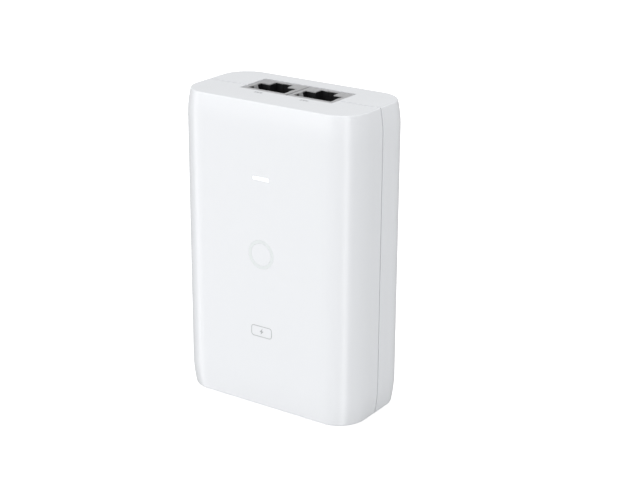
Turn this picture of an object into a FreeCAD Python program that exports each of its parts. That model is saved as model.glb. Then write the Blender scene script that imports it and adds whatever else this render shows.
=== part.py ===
import FreeCAD, Part
import math
import os
import re
import Sketcher

# A mains power injector for network cable.  It stands upright on its flat base:
# +X runs across the front, the front faces -Y, the two cable sockets open
# upwards (+Z) and the mains inlet opens downwards.  The origin is the middle of
# the base.  Lengths are millimetres.

V = FreeCAD.Vector

# Driving dimensions, one named cell each.
SIZES = {
    # Case: two shells that meet at an upright seam.  In plan it is a rectangle
    # with large round corners, and its walls curve in a little at both ends.
    "case_width": 66.0,
    "case_depth": 34.4,
    "case_height": 100.0,
    "corner_radius": 10.4,
    "wall_thick": 2.0,
    "top_inset": 1.06,
    "top_curve": 8.6,
    "base_inset": 0.97,
    "base_curve": 9.7,
    "edge_round": 0.4,
    "seam_place": -0.35,
    "seam_gap": 0.25,
    "seam_break": 0.2,
    "lip_thick": 0.9,
    "lip_reach": 1.5,
    "lip_play": 0.1,
    "wall_root": 0.5,
    # Screws that hold the shells together, from the rear.
    "boss_x": 22.5,
    "boss_z": 9.5,
    "boss_radius": 3.6,
    "boss_meet": 7.0,
    "boss_play": 0.1,
    "screw_radius": 1.4,
    "screw_length": 14.0,
    "screw_seat": 9.5,
    "pilot_radius": 1.45,
    "head_radius": 2.4,
    "head_thick": 1.8,
    "head_bore": 2.6,
    "shank_play": 0.2,
    "drive_length": 3.2,
    "drive_width": 0.6,
    "drive_depth": 0.8,
    # Opening in the top and the two shielded sockets that stand in it.
    "socket_pitch": 17.1,
    "socket_middle": 2.68,
    "mouth_width": 34.3,
    "mouth_depth": 13.84,
    "shield_width": 16.6,
    "shield_depth": 13.4,
    "shield_thick": 0.3,
    "shield_top": 99.85,
    "shield_base": 79.3,
    "plug_width": 13.8,
    "plug_inner": 11.9,
    "plug_front": -2.3,
    "plug_back": 4.7,
    "plug_floor": 82.0,
    "shoulder_low": 93.0,
    "latch_width": 6.7,
    "latch_back": 8.0,
    "latch_low": 88.0,
    "finger_width": 2.0,
    "finger_middle": 1.5,
    "finger_reach": 3.2,
    "finger_bulge": 0.75,
    "finger_thick": 0.25,
    "finger_crest": 2.08,
    "finger_gap": 0.05,
    "catch_width": 1.0,
    "catch_shift": -1.3,
    "catch_knee": 3.3,
    "catch_crest": 3.9,
    "catch_reach": 4.4,
    "catch_bulge": 0.75,
    "housing_play": 0.05,
    "housing_lift": 0.2,
    "plug_play": 0.2,
    "contact_pitch": 1.02,
    "contact_radius": 0.23,
    "contact_bar_end": 0.3,
    "contact_root_y": -2.75,
    "contact_root_z": 97.4,
    "contact_tip_y": 0.0,
    "contact_tip_z": 88.6,
    "trough_width": 8.6,
    "trough_front": -3.3,
    "trough_top": 98.6,
    # Mains inlet at the base: a three-pin appliance inlet of the usual size.
    "inlet_middle": -0.3,
    "inlet_width": 27.8,
    "inlet_depth": 19.2,
    "inlet_top": 22.0,
    "inlet_face": 0.15,
    "inlet_play": 0.3,
    "recess_width": 24.2,
    "recess_depth": 15.8,
    "recess_bevel": 4.3,
    "recess_top": 16.2,
    "pin_spacing": 14.0,
    "pin_offset": 2.0,
    "pin_thick": 2.0,
    "pin_wide": 4.0,
    "pin_tip": 1.2,
    # Circuit board, upright behind the parts that it carries.
    "board_front": 9.45,
    "board_thick": 1.6,
    "board_width": 56.8,
    "board_low": 4.0,
    "board_high": 97.0,
    "board_round": 2.0,
    "board_play": 0.3,
    "post_x": 25.0,
    "post_z": 20.0,
    "post_radius": 2.3,
    "post_pilot": 1.05,
    "board_shank": 1.0,
    "board_screw_length": 5.5,
    "board_screw_play": 0.1,
    "board_head": 2.0,
    "board_head_thick": 1.4,
    "sheet_width": 42.0,
    "sheet_thick": 0.2,
    "sheet_low": 14.0,
    "sheet_high": 86.0,
    "solder_radius": 0.45,
    "solder_tip": 0.2,
    "solder_height": 0.9,
    "solder_row": 81.5,
    "solder_stagger": 1.2,
    "inlet_solder": 18.5,
    # Fuse, choke and transformer, which are made of several pieces each.
    "fuse_place": -24.0,
    "fuse_lift": 4.0,
    "fuse_low": 24.5,
    "fuse_radius": 2.4,
    "fuse_length": 11.0,
    "cap_radius": 2.6,
    "cap_length": 3.0,
    "choke_place": 8.0,
    "choke_height": 32.0,
    "choke_lift": 1.5,
    "choke_radius": 6.5,
    "choke_hole": 3.4,
    "choke_thick": 6.0,
    "turn_radius": 3.75,
    "turn_step": 24.0,
    "wire_radius": 0.32,
    "core_width": 11.0,
    "core_depth": 15.0,
    "core_height": 19.0,
    "core_low": 43.5,
    "core_lift": 2.0,
    "core_end": 2.8,
    "core_leg": 2.2,
    "core_limb": 2.8,
    "bobbin_play": 0.1,
    "bobbin_width": 15.0,
    "bobbin_flange": 1.0,
    "bobbin_tube": 3.9,
    "foot_depth": 4.4,
    "coil_radius": 5.0,
    "can_pitch": 9.0,
    "chip_width": 1.6,
    "chip_tall": 0.8,
    "chip_high": 0.7,
    # Light bar on the front, and the marks that are inlaid or printed.
    "bar_width": 6.2,
    "bar_height": 1.35,
    "bar_middle": 76.5,
    "bar_play": 0.08,
    "bar_sunk": 0.02,
    "flange_side": 1.0,
    "flange_end": 0.8,
    "flange_thick": 1.2,
    "stem_width": 3.0,
    "stem_height": 1.8,
    "stem_gap": 1.4,
    "emblem_middle": 52.0,
    "emblem_radius": 4.7,
    "emblem_line": 1.0,
    "emblem_depth": 0.5,
    "emblem_play": 0.03,
    "badge_middle": 26.15,
    "badge_width": 7.9,
    "badge_height": 3.7,
    "badge_round": 1.0,
    "badge_line": 0.2,
    "print_thick": 0.04,
    "dot_size": 0.6,
    "dot_pitch": 1.1,
    "dot_row": -6.9,
    "line_row": -6.1,
    "line_length": 2.8,
    "line_wide": 0.25,
    "label_width": 34.0,
    "label_height": 11.0,
    "label_low": 4.5,
    "label_thick": 0.1,
    "label_sunk": 0.15,
    "label_play": 0.2,
    # Wall bracket, a plate that slides in a recess of the rear shell.
    "dock_width": 34.0,
    "dock_low": 20.0,
    "dock_high": 80.0,
    "dock_floor": 14.6,
    "dock_backing": 12.9,
    "dock_side": 2.0,
    "dock_end": 3.0,
    "groove_reach": 1.0,
    "groove_top": 15.8,
    "plate_width": 33.6,
    "plate_low": 30.0,
    "plate_high": 79.7,
    "plate_front": 14.7,
    "plate_back": 17.1,
    "plate_round": 2.0,
    "tab_reach": 0.8,
    "tab_thick": 0.9,
    "tab_height": 8.0,
    "tab_low": 34.0,
    "tab_pitch": 32.0,
    "tab_play": 0.5,
    "bracket_travel": 9.0,
    "wall_hole_radius": 2.2,
    "wall_hole_low": 40.0,
    "wall_hole_pitch": 30.0,
    "wall_head_radius": 4.2,
    "wall_head_depth": 1.0,
    "window_size": 9.0,
}

# Parts that stand on the front of the board, with the middle of each at x and z.
# A block has a width across the board, a tall side up it and a height off it. A
# round part has a radius and a height. A lift is a gap under the part.
BOARD_PARTS = {
    "power_led": dict(width=3.0, tall=2.6, high=1.2, x=0.0, z=76.5),
    "noise_capacitor": dict(width=6.0, tall=13.0, high=11.0, x=-6.5, z=31.0),
    "bridge_rectifier": dict(width=8.5, tall=6.5, high=3.4, x=22.5, z=29.0),
    "surge_disc": dict(radius=4.6, high=3.6, lift=1.0, x=-15.5, z=29.5),
    "reservoir_capacitor": dict(radius=6.0, high=20.0, x=20.5, z=44.0),
    "switch_heatsink": dict(width=1.5, tall=17.0, high=16.0, x=-24.5, z=53.5),
    "switch_transistor": dict(width=4.4, tall=10.0, high=15.0, lift=0.5, x=-21.5, z=53.0),
    "safety_capacitor": dict(radius=3.6, high=3.0, lift=1.0, x=-14.0, z=43.0),
    "optocoupler": dict(width=6.4, tall=4.6, high=3.4, x=-13.5, z=53.0),
    "output_heatsink": dict(width=1.5, tall=14.0, high=14.0, x=24.8, z=68.0),
    "output_rectifier": dict(width=4.4, tall=10.0, high=13.0, lift=0.5, x=21.8, z=68.0),
    "output_can": dict(radius=4.2, high=15.0, x=-18.5, z=68.0),
    "output_inductor": dict(radius=4.4, high=8.0, lift=0.5, x=12.0, z=68.5),
    "line_magnetics": dict(width=8.0, tall=9.5, high=5.4, x=-4.5, z=68.0),
    "control_chip": dict(width=5.0, tall=4.0, high=1.6, x=4.0, z=69.0),
}
for part_name, numbers in BOARD_PARTS.items():
    SIZES.update({"%s_%s" % (part_name, key): number for key, number in numbers.items()})

doc = FreeCAD.newDocument("power_injector")
sheet = doc.addObject("Spreadsheet::Sheet", "Sizes")
for row, (alias, number) in enumerate(SIZES.items(), start=1):
    sheet.set("A%d" % row, str(number))
    sheet.setAlias("A%d" % row, alias)
doc.recompute()

pieces = []


# ---- formulas on the sheet ---------------------------------------------------

def rule(formula):
    """An expression on the sheet, from a formula in the sheet's own names."""
    return re.sub(r"\b[a-z]+(_[a-z]+)+\b", r"Sizes.\g<0>", str(formula))


def value(formula):
    """What a formula comes to now."""
    return float(sheet.evalExpression(rule(formula)))


def bind(obj, **formulas):
    for name, formula in formulas.items():
        obj.setExpression(name, rule(formula))
    return obj


def place(obj, x, y, z):
    for axis, formula in zip("xyz", (x, y, z)):
        obj.setExpression("Placement.Base." + axis, rule(formula))
    return obj


def piece(obj):
    """Count an object as a finished piece, which gets a file of its own."""
    pieces.append(obj)
    return obj


# ---- plain solids and booleans -----------------------------------------------

TURNS = {
    "-y": FreeCAD.Rotation(V(1, 0, 0), 90),
    "z": FreeCAD.Rotation(),
}


def block(name, width, depth, height, x, y, z):
    """A box centred on x, from y backwards and from z upwards."""
    box = bind(doc.addObject("Part::Box", name), Length=width, Width=depth, Height=height)
    return place(box, "(%s) - (%s) / 2" % (x, width), y, z)


def rod(name, radius, length, along, x, y, z):
    """A round bar that starts at x, y, z."""
    bar = doc.addObject("Part::Cylinder", name)
    bar.Placement = FreeCAD.Placement(V(), TURNS[along])
    bind(bar, Radius=radius, Height=length)
    return place(bar, x, y, z)


def on_board(name, width, tall, high, x, z, lift="0"):
    """A box on the front of the board, centred on x and z."""
    return block(name, width, high, tall, x, "board_front - (%s) - (%s)" % (high, lift),
                 "(%s) - (%s) / 2" % (z, tall))


def standing(name, radius, high, x, z, lift="0"):
    """A round part that stands off the front of the board."""
    return rod(name, radius, high, "-y", x, "board_front - (%s)" % lift, z)


def board_part(name):
    """One of the board's parts, from its own cells in the sheet."""
    cells = {key: "%s_%s" % (name, key) for key in BOARD_PARTS[name]}
    return (standing if "radius" in cells else on_board)(name, **cells)


def fuse(name, *parts):
    joined = doc.addObject("Part::MultiFuse", name)
    joined.Shapes = list(parts)
    return joined


def cut(name, base, tool):
    rest = doc.addObject("Part::Cut", name)
    rest.Base = base
    rest.Tool = tool
    return rest


def group(name, parts):
    """Several separate solids that share one node."""
    joined = doc.addObject("Part::Compound", name)
    joined.Links = list(parts)
    return joined


# ---- sketched bodies ---------------------------------------------------------

NORMAL = {"XY": 1, "YZ": 1, "XZ": -1}


def new_body(name):
    return doc.addObject("PartDesign::Body", name)


def sketch(body, name, plane, at):
    drawing = body.newObject("Sketcher::SketchObject", body.Name + "_" + name)
    flat = next(f for f in body.Origin.OriginFeatures if f.Role == plane + "_Plane")
    drawing.AttachmentSupport = [(flat, "")]
    drawing.MapMode = "FlatFace"
    drawing.setExpression("AttachmentOffset.Base.z", rule("(%s) * %d" % (at, NORMAL[plane])))
    return drawing


def hold(drawing, geometry, end, x, y):
    """Hold a point of an edge at x, y from the drawing's origin."""
    for kind, formula in (("DistanceX", x), ("DistanceY", y)):
        index = drawing.addConstraint(
            Sketcher.Constraint(kind, -1, 1, geometry, end, value(formula)))
        drawing.setExpression("Constraints[%d]" % index, rule(formula))


def size_circle(drawing, geometry, radius):
    index = drawing.addConstraint(Sketcher.Constraint("Radius", geometry, value(radius)))
    drawing.setExpression("Constraints[%d]" % index, rule(radius))


def polygon(*points):
    """Straight edges through the given points."""
    def draw(drawing):
        first = drawing.GeometryCount
        spots = [V(value(x), value(y), 0) for x, y in points]
        count = len(spots)
        for i in range(count):
            drawing.addGeometry(Part.LineSegment(spots[i], spots[(i + 1) % count]))
        for i in range(count):
            drawing.addConstraint(Sketcher.Constraint(
                "Coincident", first + i, 2, first + (i + 1) % count, 1))
            hold(drawing, first + i, 1, *points[i])
    return draw


def rectangle(left, right, low, high):
    return polygon((left, low), (right, low), (right, high), (left, high))


def round_rectangle(left, right, low, high, radius):
    """A rectangle with four round corners."""
    near_left, near_right = "(%s) + (%s)" % (left, radius), "(%s) - (%s)" % (right, radius)
    near_low, near_high = "(%s) + (%s)" % (low, radius), "(%s) - (%s)" % (high, radius)
    corners = ((near_right, near_low), (near_right, near_high),
               (near_left, near_high), (near_left, near_low))

    def draw(drawing):
        first = drawing.GeometryCount
        arcs = []
        for i, (x, y) in enumerate(corners):
            circle = Part.Circle(V(value(x), value(y), 0), V(0, 0, 1), value(radius))
            start = (i - 1) * math.pi / 2
            arcs.append(Part.ArcOfCircle(circle, start, start + math.pi / 2))
            drawing.addGeometry(arcs[-1])
        for i in range(4):
            drawing.addGeometry(Part.LineSegment(arcs[i].EndPoint, arcs[(i + 1) % 4].StartPoint))
        for i in range(4):
            hold(drawing, first + i, 3, *corners[i])
            size_circle(drawing, first + i, radius)
            drawing.addConstraint(Sketcher.Constraint("Tangent", first + i, 2, first + 4 + i, 1))
            drawing.addConstraint(Sketcher.Constraint(
                "Tangent", first + 4 + i, 2, first + (i + 1) % 4, 1))
    return draw


def disc(x, y, radius):
    def draw(drawing):
        index = drawing.addGeometry(Part.Circle(V(value(x), value(y), 0), V(0, 0, 1), value(radius)))
        hold(drawing, index, 3, x, y)
        size_circle(drawing, index, radius)
    return draw


def together(*outlines):
    """Several outlines in one drawing."""
    def draw(drawing):
        for outline in outlines:
            outline(drawing)
    return draw


def add(body, name, plane, low, high, draw):
    """Pad an outline from low to high along the plane's axis."""
    drawing = sketch(body, name, plane, low if NORMAL[plane] > 0 else high)
    draw(drawing)
    pad = body.newObject("PartDesign::Pad", body.Name + "_" + name + "_pad")
    pad.Profile = drawing
    return bind(pad, Length="(%s) - (%s)" % (high, low))


def remove(body, name, plane, low, high, draw):
    """Pocket an outline from low to high along the plane's axis."""
    drawing = sketch(body, name, plane, high if NORMAL[plane] > 0 else low)
    draw(drawing)
    pocket = body.newObject("PartDesign::Pocket", body.Name + "_" + name + "_pocket")
    pocket.Profile = drawing
    return bind(pocket, Length="(%s) - (%s)" % (high, low))


def add_loft(body, name, sections):
    """A smooth solid through outlines at several heights."""
    drawings = []
    for i, (height, draw) in enumerate(sections):
        drawings.append(sketch(body, "%s_%d" % (name, i), "XY", height))
        draw(drawings[-1])
    loft = body.newObject("PartDesign::AdditiveLoft", body.Name + "_" + name + "_loft")
    loft.Profile = drawings[0]
    loft.Sections = drawings[1:]
    return loft


# ---- case shells -------------------------------------------------------------

FRONT = "-case_depth / 2"
BACK = "case_depth / 2"
INNER_FRONT = "-case_depth / 2 + wall_thick"
INNER_BACK = "case_depth / 2 - wall_thick"
CONTACTS = 8
BOSSES = [(side + "boss_x", height) for side in ("-", "")
          for height in ("boss_z", "case_height - boss_z")]
POSTS = [(side + "post_x", "post_z") for side in ("-", "")]


def plan(inset):
    """The case's outline in plan, drawn in by an inset."""
    half_x, half_y = "(case_width / 2 - (%s))" % inset, "(case_depth / 2 - (%s))" % inset
    return round_rectangle("-" + half_x, half_x, "-" + half_y, half_y,
                           "corner_radius - (%s)" % inset)


def case_block(body):
    """The case's outer form: straight walls that curve in at the base and the top."""
    steps = 3
    share = lambda i: "%d / %d" % (i * i, steps * steps)
    add_loft(body, "base_end", [
        ("base_curve * %d / %d" % (i, steps), plan("base_inset * " + share(steps - i)))
        for i in range(steps + 1)])
    add(body, "walls", "XY", "base_curve", "case_height - top_curve", plan("0"))
    add_loft(body, "top_end", [
        ("case_height - top_curve * %d / %d" % (steps - i, steps), plan("top_inset * " + share(i)))
        for i in range(steps + 1)])
    doc.recompute()
    solid = body.Tip
    ends = (0.0, value("case_height"))
    rims = ["Edge%d" % (i + 1) for i, edge in enumerate(solid.Shape.Edges)
            if any(abs(edge.BoundBox.ZMin - z) + abs(edge.BoundBox.ZMax - z) < 0.01 for z in ends)]
    rounding = body.newObject("PartDesign::Fillet", body.Name + "_rims")
    rounding.Base = (solid, rims)
    bind(rounding, Radius="edge_round")


def case_half(name, low, high):
    """One shell: the hollow case without what lies between low and high in depth."""
    body = new_body(name)
    case_block(body)
    remove(body, "hollow", "XY", "wall_thick", "case_height - wall_thick", plan("wall_thick"))
    remove(body, "half", "XZ", low, high,
           rectangle("-case_width", "case_width", "-wall_thick", "case_height + wall_thick"))
    return body


def break_seam_edge(body):
    """Chamfer the outer edge of a shell's rim, along the seam."""
    doc.recompute()
    solid = body.Tip
    rim = max((face for face in solid.Shape.Faces if abs(face.normalAt(0, 0).y) > 0.99
               and abs(face.BoundBox.Center.y - value("seam_place")) < value("seam_gap")),
              key=lambda face: face.BoundBox.ZLength)
    outer = ["Edge%d" % (i + 1) for i, edge in enumerate(solid.Shape.Edges)
             if any(edge.isSame(other) for other in rim.OuterWire.Edges)]
    chamfer = body.newObject("PartDesign::Chamfer", body.Name + "_seam_break")
    chamfer.Base = (solid, outer)
    bind(chamfer, Size="seam_break")


def end_openings(body):
    """The opening for the two sockets in the top, and for the inlet in the base."""
    remove(body, "socket_opening", "XY", "case_height - 2 * wall_thick", "case_height + 1",
           rectangle("-mouth_width / 2", "mouth_width / 2",
                     "socket_middle - mouth_depth / 2", "socket_middle + mouth_depth / 2"))
    half_x, half_y = "(inlet_width / 2 + inlet_play)", "(inlet_depth / 2 + inlet_play)"
    remove(body, "inlet_opening", "XY", "-1", "2 * wall_thick",
           rectangle("-" + half_x, half_x, "inlet_middle - " + half_y, "inlet_middle + " + half_y))


def build_front_cover():
    body = case_half("front_cover", "seam_place - seam_gap / 2", "case_depth")
    break_seam_edge(body)
    # Step inside the rim, which the rear shell's lip enters.
    step_x = "(case_width / 2 - wall_thick + lip_thick + lip_play)"
    step_z = "(wall_thick - lip_thick - lip_play)"
    remove(body, "lip_step", "XZ", "seam_place - lip_reach - lip_play", "seam_place",
           rectangle("-" + step_x, step_x, step_z, "case_height - " + step_z))
    end_openings(body)
    # Four screw bosses that reach back past the seam.
    add(body, "bosses", "XZ", INNER_FRONT + " - wall_root", "boss_meet",
        together(*[disc(x, z, "boss_radius") for x, z in BOSSES]))
    remove(body, "pilots", "XZ", "screw_seat - screw_length - 1", "boss_meet",
           together(*[disc(x, z, "pilot_radius") for x, z in BOSSES]))
    # Window for the light bar and a shallow seat for the emblem.
    remove(body, "bar_window", "XZ", "-case_depth", INNER_FRONT + " + 1",
           rectangle("-bar_width / 2", "bar_width / 2",
                     "bar_middle - bar_height / 2", "bar_middle + bar_height / 2"))
    remove(body, "emblem_seat", "XZ", "-case_depth", FRONT + " + emblem_depth",
           together(disc("0", "emblem_middle", "emblem_radius"),
                    disc("0", "emblem_middle", "emblem_radius - emblem_line")))
    return piece(body)


def build_rear_cover():
    body = case_half("rear_cover", "-case_depth", "seam_place + seam_gap / 2")
    # Lip that enters the front shell.
    inner_x = "(case_width / 2 - wall_thick)"
    add(body, "lip", "XZ", "seam_place - lip_reach", "seam_place + seam_gap / 2",
        together(rectangle("-(%s + lip_thick)" % inner_x, "%s + lip_thick" % inner_x,
                           "wall_thick - lip_thick", "case_height - wall_thick + lip_thick"),
                 rectangle("-" + inner_x, inner_x, "wall_thick", "case_height - wall_thick")))
    end_openings(body)
    # Screw bosses, with a deep bore for each head.
    add(body, "bosses", "XZ", "boss_meet + boss_play", INNER_BACK + " + wall_root",
        together(*[disc(x, z, "boss_radius") for x, z in BOSSES]))
    remove(body, "head_bores", "XZ", "screw_seat", "case_depth",
           together(*[disc(x, z, "head_bore") for x, z in BOSSES]))
    remove(body, "shank_bores", "XZ", "boss_meet", "screw_seat + 1",
           together(*[disc(x, z, "screw_radius + shank_play") for x, z in BOSSES]))
    # Posts that carry the board.
    add(body, "posts", "XZ", "board_front + board_thick", INNER_BACK + " + wall_root",
        together(*[disc(x, z, "post_radius") for x, z in POSTS]))
    remove(body, "post_pilots", "XZ", "board_front + board_thick", INNER_BACK,
           together(*[disc(x, z, "post_pilot") for x, z in POSTS]))
    # Recess for the wall bracket, thickened behind, with grooves under its two long edges.
    add(body, "dock_wall", "XZ", "dock_backing", INNER_BACK + " + wall_root",
        rectangle("-(dock_width / 2 + dock_side)", "dock_width / 2 + dock_side",
                  "dock_low - dock_end", "dock_high + dock_end"))
    remove(body, "dock", "XZ", "dock_floor", "case_depth",
           rectangle("-dock_width / 2", "dock_width / 2", "dock_low", "dock_high"))
    groove_x = "(dock_width / 2 + groove_reach)"
    remove(body, "grooves", "XZ", "dock_floor", "groove_top",
           rectangle("-" + groove_x, groove_x, "dock_low", "dock_high"))
    # Gaps in the groove's lips, where the bracket's tabs lift out once it has slid down.
    for i in range(2):
        low = "tab_low - bracket_travel - tab_play + tab_pitch * %d" % i
        remove(body, "tab_gap_%d" % i, "XZ", "dock_floor", "case_depth",
               rectangle("-" + groove_x, groove_x, low, "%s + tab_height + 2 * tab_play" % low))
    # Shallow seat for the label.
    label_x = "(label_width / 2 + label_play)"
    remove(body, "label_seat", "XZ", BACK + " - label_sunk", "case_depth",
           rectangle("-" + label_x, label_x,
                     "label_low - label_play", "label_low + label_height + label_play"))
    return piece(body)


def build_case_screws():
    screws = []
    for i, (x, z) in enumerate(BOSSES):
        shank = rod("case_shank_%d" % i, "screw_radius", "screw_length", "-y", x, "screw_seat", z)
        head = rod("case_head_%d" % i, "head_radius", "head_thick", "-y", x,
                   "screw_seat + head_thick", z)
        bottom = "screw_seat + head_thick - drive_depth"
        slot = block("case_slot_%d" % i, "drive_length", "head_thick", "drive_width", x, bottom,
                     "(%s) - drive_width / 2" % z)
        cross = block("case_cross_%d" % i, "drive_width", "head_thick", "drive_length", x, bottom,
                      "(%s) - drive_length / 2" % z)
        screws.append(cut("case_screw_%d" % i, fuse("case_screw_blank_%d" % i, shank, head),
                          fuse("case_drive_%d" % i, slot, cross)))
    piece(group("case_screws", screws))


# ---- marks, label and light bar ----------------------------------------------

def build_light_pipe():
    """Clear bar in the front window, with a flange behind the wall and a stem to the lamp."""
    body = new_body("light_pipe")
    add(body, "bar", "XZ", FRONT + " + bar_sunk", INNER_FRONT,
        rectangle("-(bar_width / 2 - bar_play)", "bar_width / 2 - bar_play",
                  "bar_middle - bar_height / 2 + bar_play", "bar_middle + bar_height / 2 - bar_play"))
    add(body, "flange", "XZ", INNER_FRONT, INNER_FRONT + " + flange_thick",
        rectangle("-(bar_width / 2 + flange_side)", "bar_width / 2 + flange_side",
                  "bar_middle - bar_height / 2 - flange_end",
                  "bar_middle + bar_height / 2 + flange_end"))
    add(body, "stem", "XZ", INNER_FRONT + " + flange_thick", "board_front - stem_gap",
        rectangle("-stem_width / 2", "stem_width / 2",
                  "bar_middle - stem_height / 2", "bar_middle + stem_height / 2"))
    piece(body)


# Corners of the badge's bolt, about its middle.
BOLT = ((0.35, 1.05), (-0.75, -0.15), (-0.1, -0.15), (-0.35, -1.05), (0.75, 0.15), (0.1, 0.15))


def build_marks():
    """Inlaid ring, printed badge and the two small marks beside the sockets."""
    emblem = new_body("front_emblem")
    add(emblem, "ring", "XZ", FRONT, FRONT + " + emblem_depth",
        together(disc("0", "emblem_middle", "emblem_radius - emblem_play"),
                 disc("0", "emblem_middle", "emblem_radius - emblem_line + emblem_play")))
    piece(emblem)

    def frame(shrink):
        half_x, half_z = "(badge_width / 2 - %s)" % shrink, "(badge_height / 2 - %s)" % shrink
        return round_rectangle("-" + half_x, half_x, "badge_middle - " + half_z,
                               "badge_middle + " + half_z, "badge_round - %s" % shrink)

    outline = new_body("badge_outline")
    add(outline, "outline", "XZ", FRONT + " - print_thick", FRONT,
        together(frame("0"), frame("badge_line")))
    piece(outline)

    bolt = new_body("badge_bolt")
    add(bolt, "bolt", "XZ", FRONT + " - print_thick", FRONT,
        polygon(*[(str(x), "badge_middle + (%s)" % z) for x, z in BOLT]))
    piece(bolt)

    marks = []
    for side, middle in (("left", "-socket_pitch / 2"), ("right", "socket_pitch / 2")):
        for i in range(3):
            marks.append(block("mark_%s_%d" % (side, i), "dot_size", "dot_size", "print_thick",
                               "%s + (%d) * dot_pitch" % (middle, i - 1), "dot_row", "case_height"))
        marks.append(block("mark_%s_line" % side, "line_length", "line_wide", "print_thick",
                           middle, "line_row", "case_height"))
    piece(group("socket_marks", marks))

    piece(block("rating_label", "label_width", "label_thick", "label_height", "0",
                BACK + " - label_sunk", "label_low"))


# ---- sockets -----------------------------------------------------------------

def socket_mouth(middle, width, latch=True):
    """The plug's outline in plan: a wide slot, with the latch's narrower slot behind it."""
    left, right = "(%s) - (%s) / 2" % (middle, width), "(%s) + (%s) / 2" % (middle, width)
    points = [(left, "plug_front"), (right, "plug_front"), (right, "plug_back")]
    if latch:
        notch_left, notch_right = "(%s) - latch_width / 2" % middle, "(%s) + latch_width / 2" % middle
        points += [(notch_right, "plug_back"), (notch_right, "latch_back"),
                   (notch_left, "latch_back"), (notch_left, "plug_back")]
    points.append((left, "plug_back"))
    return polygon(*points)


def around(middle, width, depth, shrink="0"):
    """A rectangle in plan about a socket's middle."""
    half_x = "((%s) / 2 - (%s))" % (width, shrink)
    half_y = "((%s) / 2 - (%s))" % (depth, shrink)
    return rectangle("(%s) - %s" % (middle, half_x), "(%s) + %s" % (middle, half_x),
                     "socket_middle - " + half_y, "socket_middle + " + half_y)


def folded_finger(inward):
    """A finger folded down from the mouth's end, crowned towards the plug; inward gives a reach."""
    crest, foot = "shield_top - finger_crest", "shield_top - finger_reach"
    return polygon((inward("-finger_thick"), "shield_top"), (inward("finger_thick"), "shield_top"),
                   (inward("finger_bulge"), crest), (inward("finger_thick + finger_gap"), foot),
                   (inward("finger_gap"), foot), (inward("finger_bulge - finger_thick"), crest),
                   (inward("0"), "shield_top - shield_thick"),
                   (inward("-finger_thick"), "shield_top - shield_thick"))


def build_shield(name, middle):
    """Steel shield of a socket, with fingers that touch the plug's ends and its latch side."""
    shield = new_body(name + "_shield")
    add(shield, "box", "XY", "shield_base", "shield_top",
        around(middle, "shield_width", "shield_depth"))
    remove(shield, "inside", "XY", "shield_base - 1", "shield_top - shield_thick",
           around(middle, "shield_width", "shield_depth", "shield_thick"))
    remove(shield, "mouth", "XY", "shield_top - 1", "shield_top + 1",
           socket_mouth(middle, "plug_width"))
    for side, sign in (("left", 1), ("right", -1)):
        add(shield, "finger_" + side, "XZ", "finger_middle - finger_width / 2",
            "finger_middle + finger_width / 2",
            folded_finger(lambda reach: "(%s) + (%d) * (%s - plug_width / 2)" % (middle, sign, reach)))
    # The latch side's finger runs down the notch's rear wall and kicks out at its foot.
    catch_middle = "(%s) + catch_shift" % middle
    add(shield, "catch", "YZ", catch_middle + " - catch_width / 2",
        catch_middle + " + catch_width / 2",
        polygon(("latch_back + finger_thick", "shield_top"),
                ("latch_back - finger_thick", "shield_top"),
                ("latch_back - finger_thick", "shield_top - catch_knee"),
                ("latch_back - catch_bulge", "shield_top - catch_crest"),
                ("latch_back - finger_thick", "shield_top - catch_reach"),
                ("latch_back - finger_gap", "shield_top - catch_reach"),
                ("latch_back - finger_gap", "shield_top - shield_thick"),
                ("latch_back + finger_thick", "shield_top - shield_thick")))
    piece(shield)


def build_housing(name, middle):
    """Black moulding that fills the shield, open for the plug, its latch and the contacts."""
    housing = new_body(name + "_housing")
    top = "(shield_top - shield_thick - housing_play)"
    add(housing, "box", "XY", "shield_base + housing_lift", top,
        around(middle, "shield_width", "shield_depth", "shield_thick + housing_play"))
    remove(housing, "mouth", "XY", "shoulder_low", top + " + 1",
           socket_mouth(middle, "plug_width + plug_play"))
    remove(housing, "well", "XY", "plug_floor", "shoulder_low + 1",
           socket_mouth(middle, "plug_inner", latch=False))
    remove(housing, "latch", "XY", "latch_low", "shoulder_low + 1",
           rectangle("(%s) - latch_width / 2" % middle, "(%s) + latch_width / 2" % middle,
                     "plug_back - 1", "latch_back"))
    remove(housing, "trough", "XY", "plug_floor", "trough_top",
           rectangle("(%s) - trough_width / 2" % middle, "(%s) + trough_width / 2" % middle,
                     "trough_front", "plug_front + 1"))
    piece(housing)


def build_contacts(name, middle):
    """Eight straight spring wires on a bar, leaning from their root into the plug's path."""
    run = "sqrt((contact_root_y - contact_tip_y) ^ 2 + (contact_root_z - contact_tip_z) ^ 2)"
    lean = math.degrees(math.atan2(value("contact_tip_y - contact_root_y"),
                                   value("contact_root_z - contact_tip_z")))
    wires = []
    for i in range(CONTACTS):
        wire = doc.addObject("Part::Cylinder", "%s_wire_%d" % (name, i))
        wire.Placement = FreeCAD.Placement(V(), FreeCAD.Rotation(V(1, 0, 0), 180 + lean))
        bind(wire, Radius="contact_radius", Height=run)
        place(wire, "(%s) + contact_pitch * (%s)" % (middle, i - (CONTACTS - 1) / 2),
              "contact_root_y", "contact_root_z")
        wires.append(wire)
    bar = block(name + "_contact_bar", "contact_pitch * %d + 2 * contact_bar_end" % (CONTACTS - 1),
                "2 * contact_radius", "2 * contact_radius", middle,
                "contact_root_y - contact_radius", "contact_root_z - contact_radius")
    piece(fuse(name + "_contacts", bar, *wires))


# ---- mains inlet -------------------------------------------------------------

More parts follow.
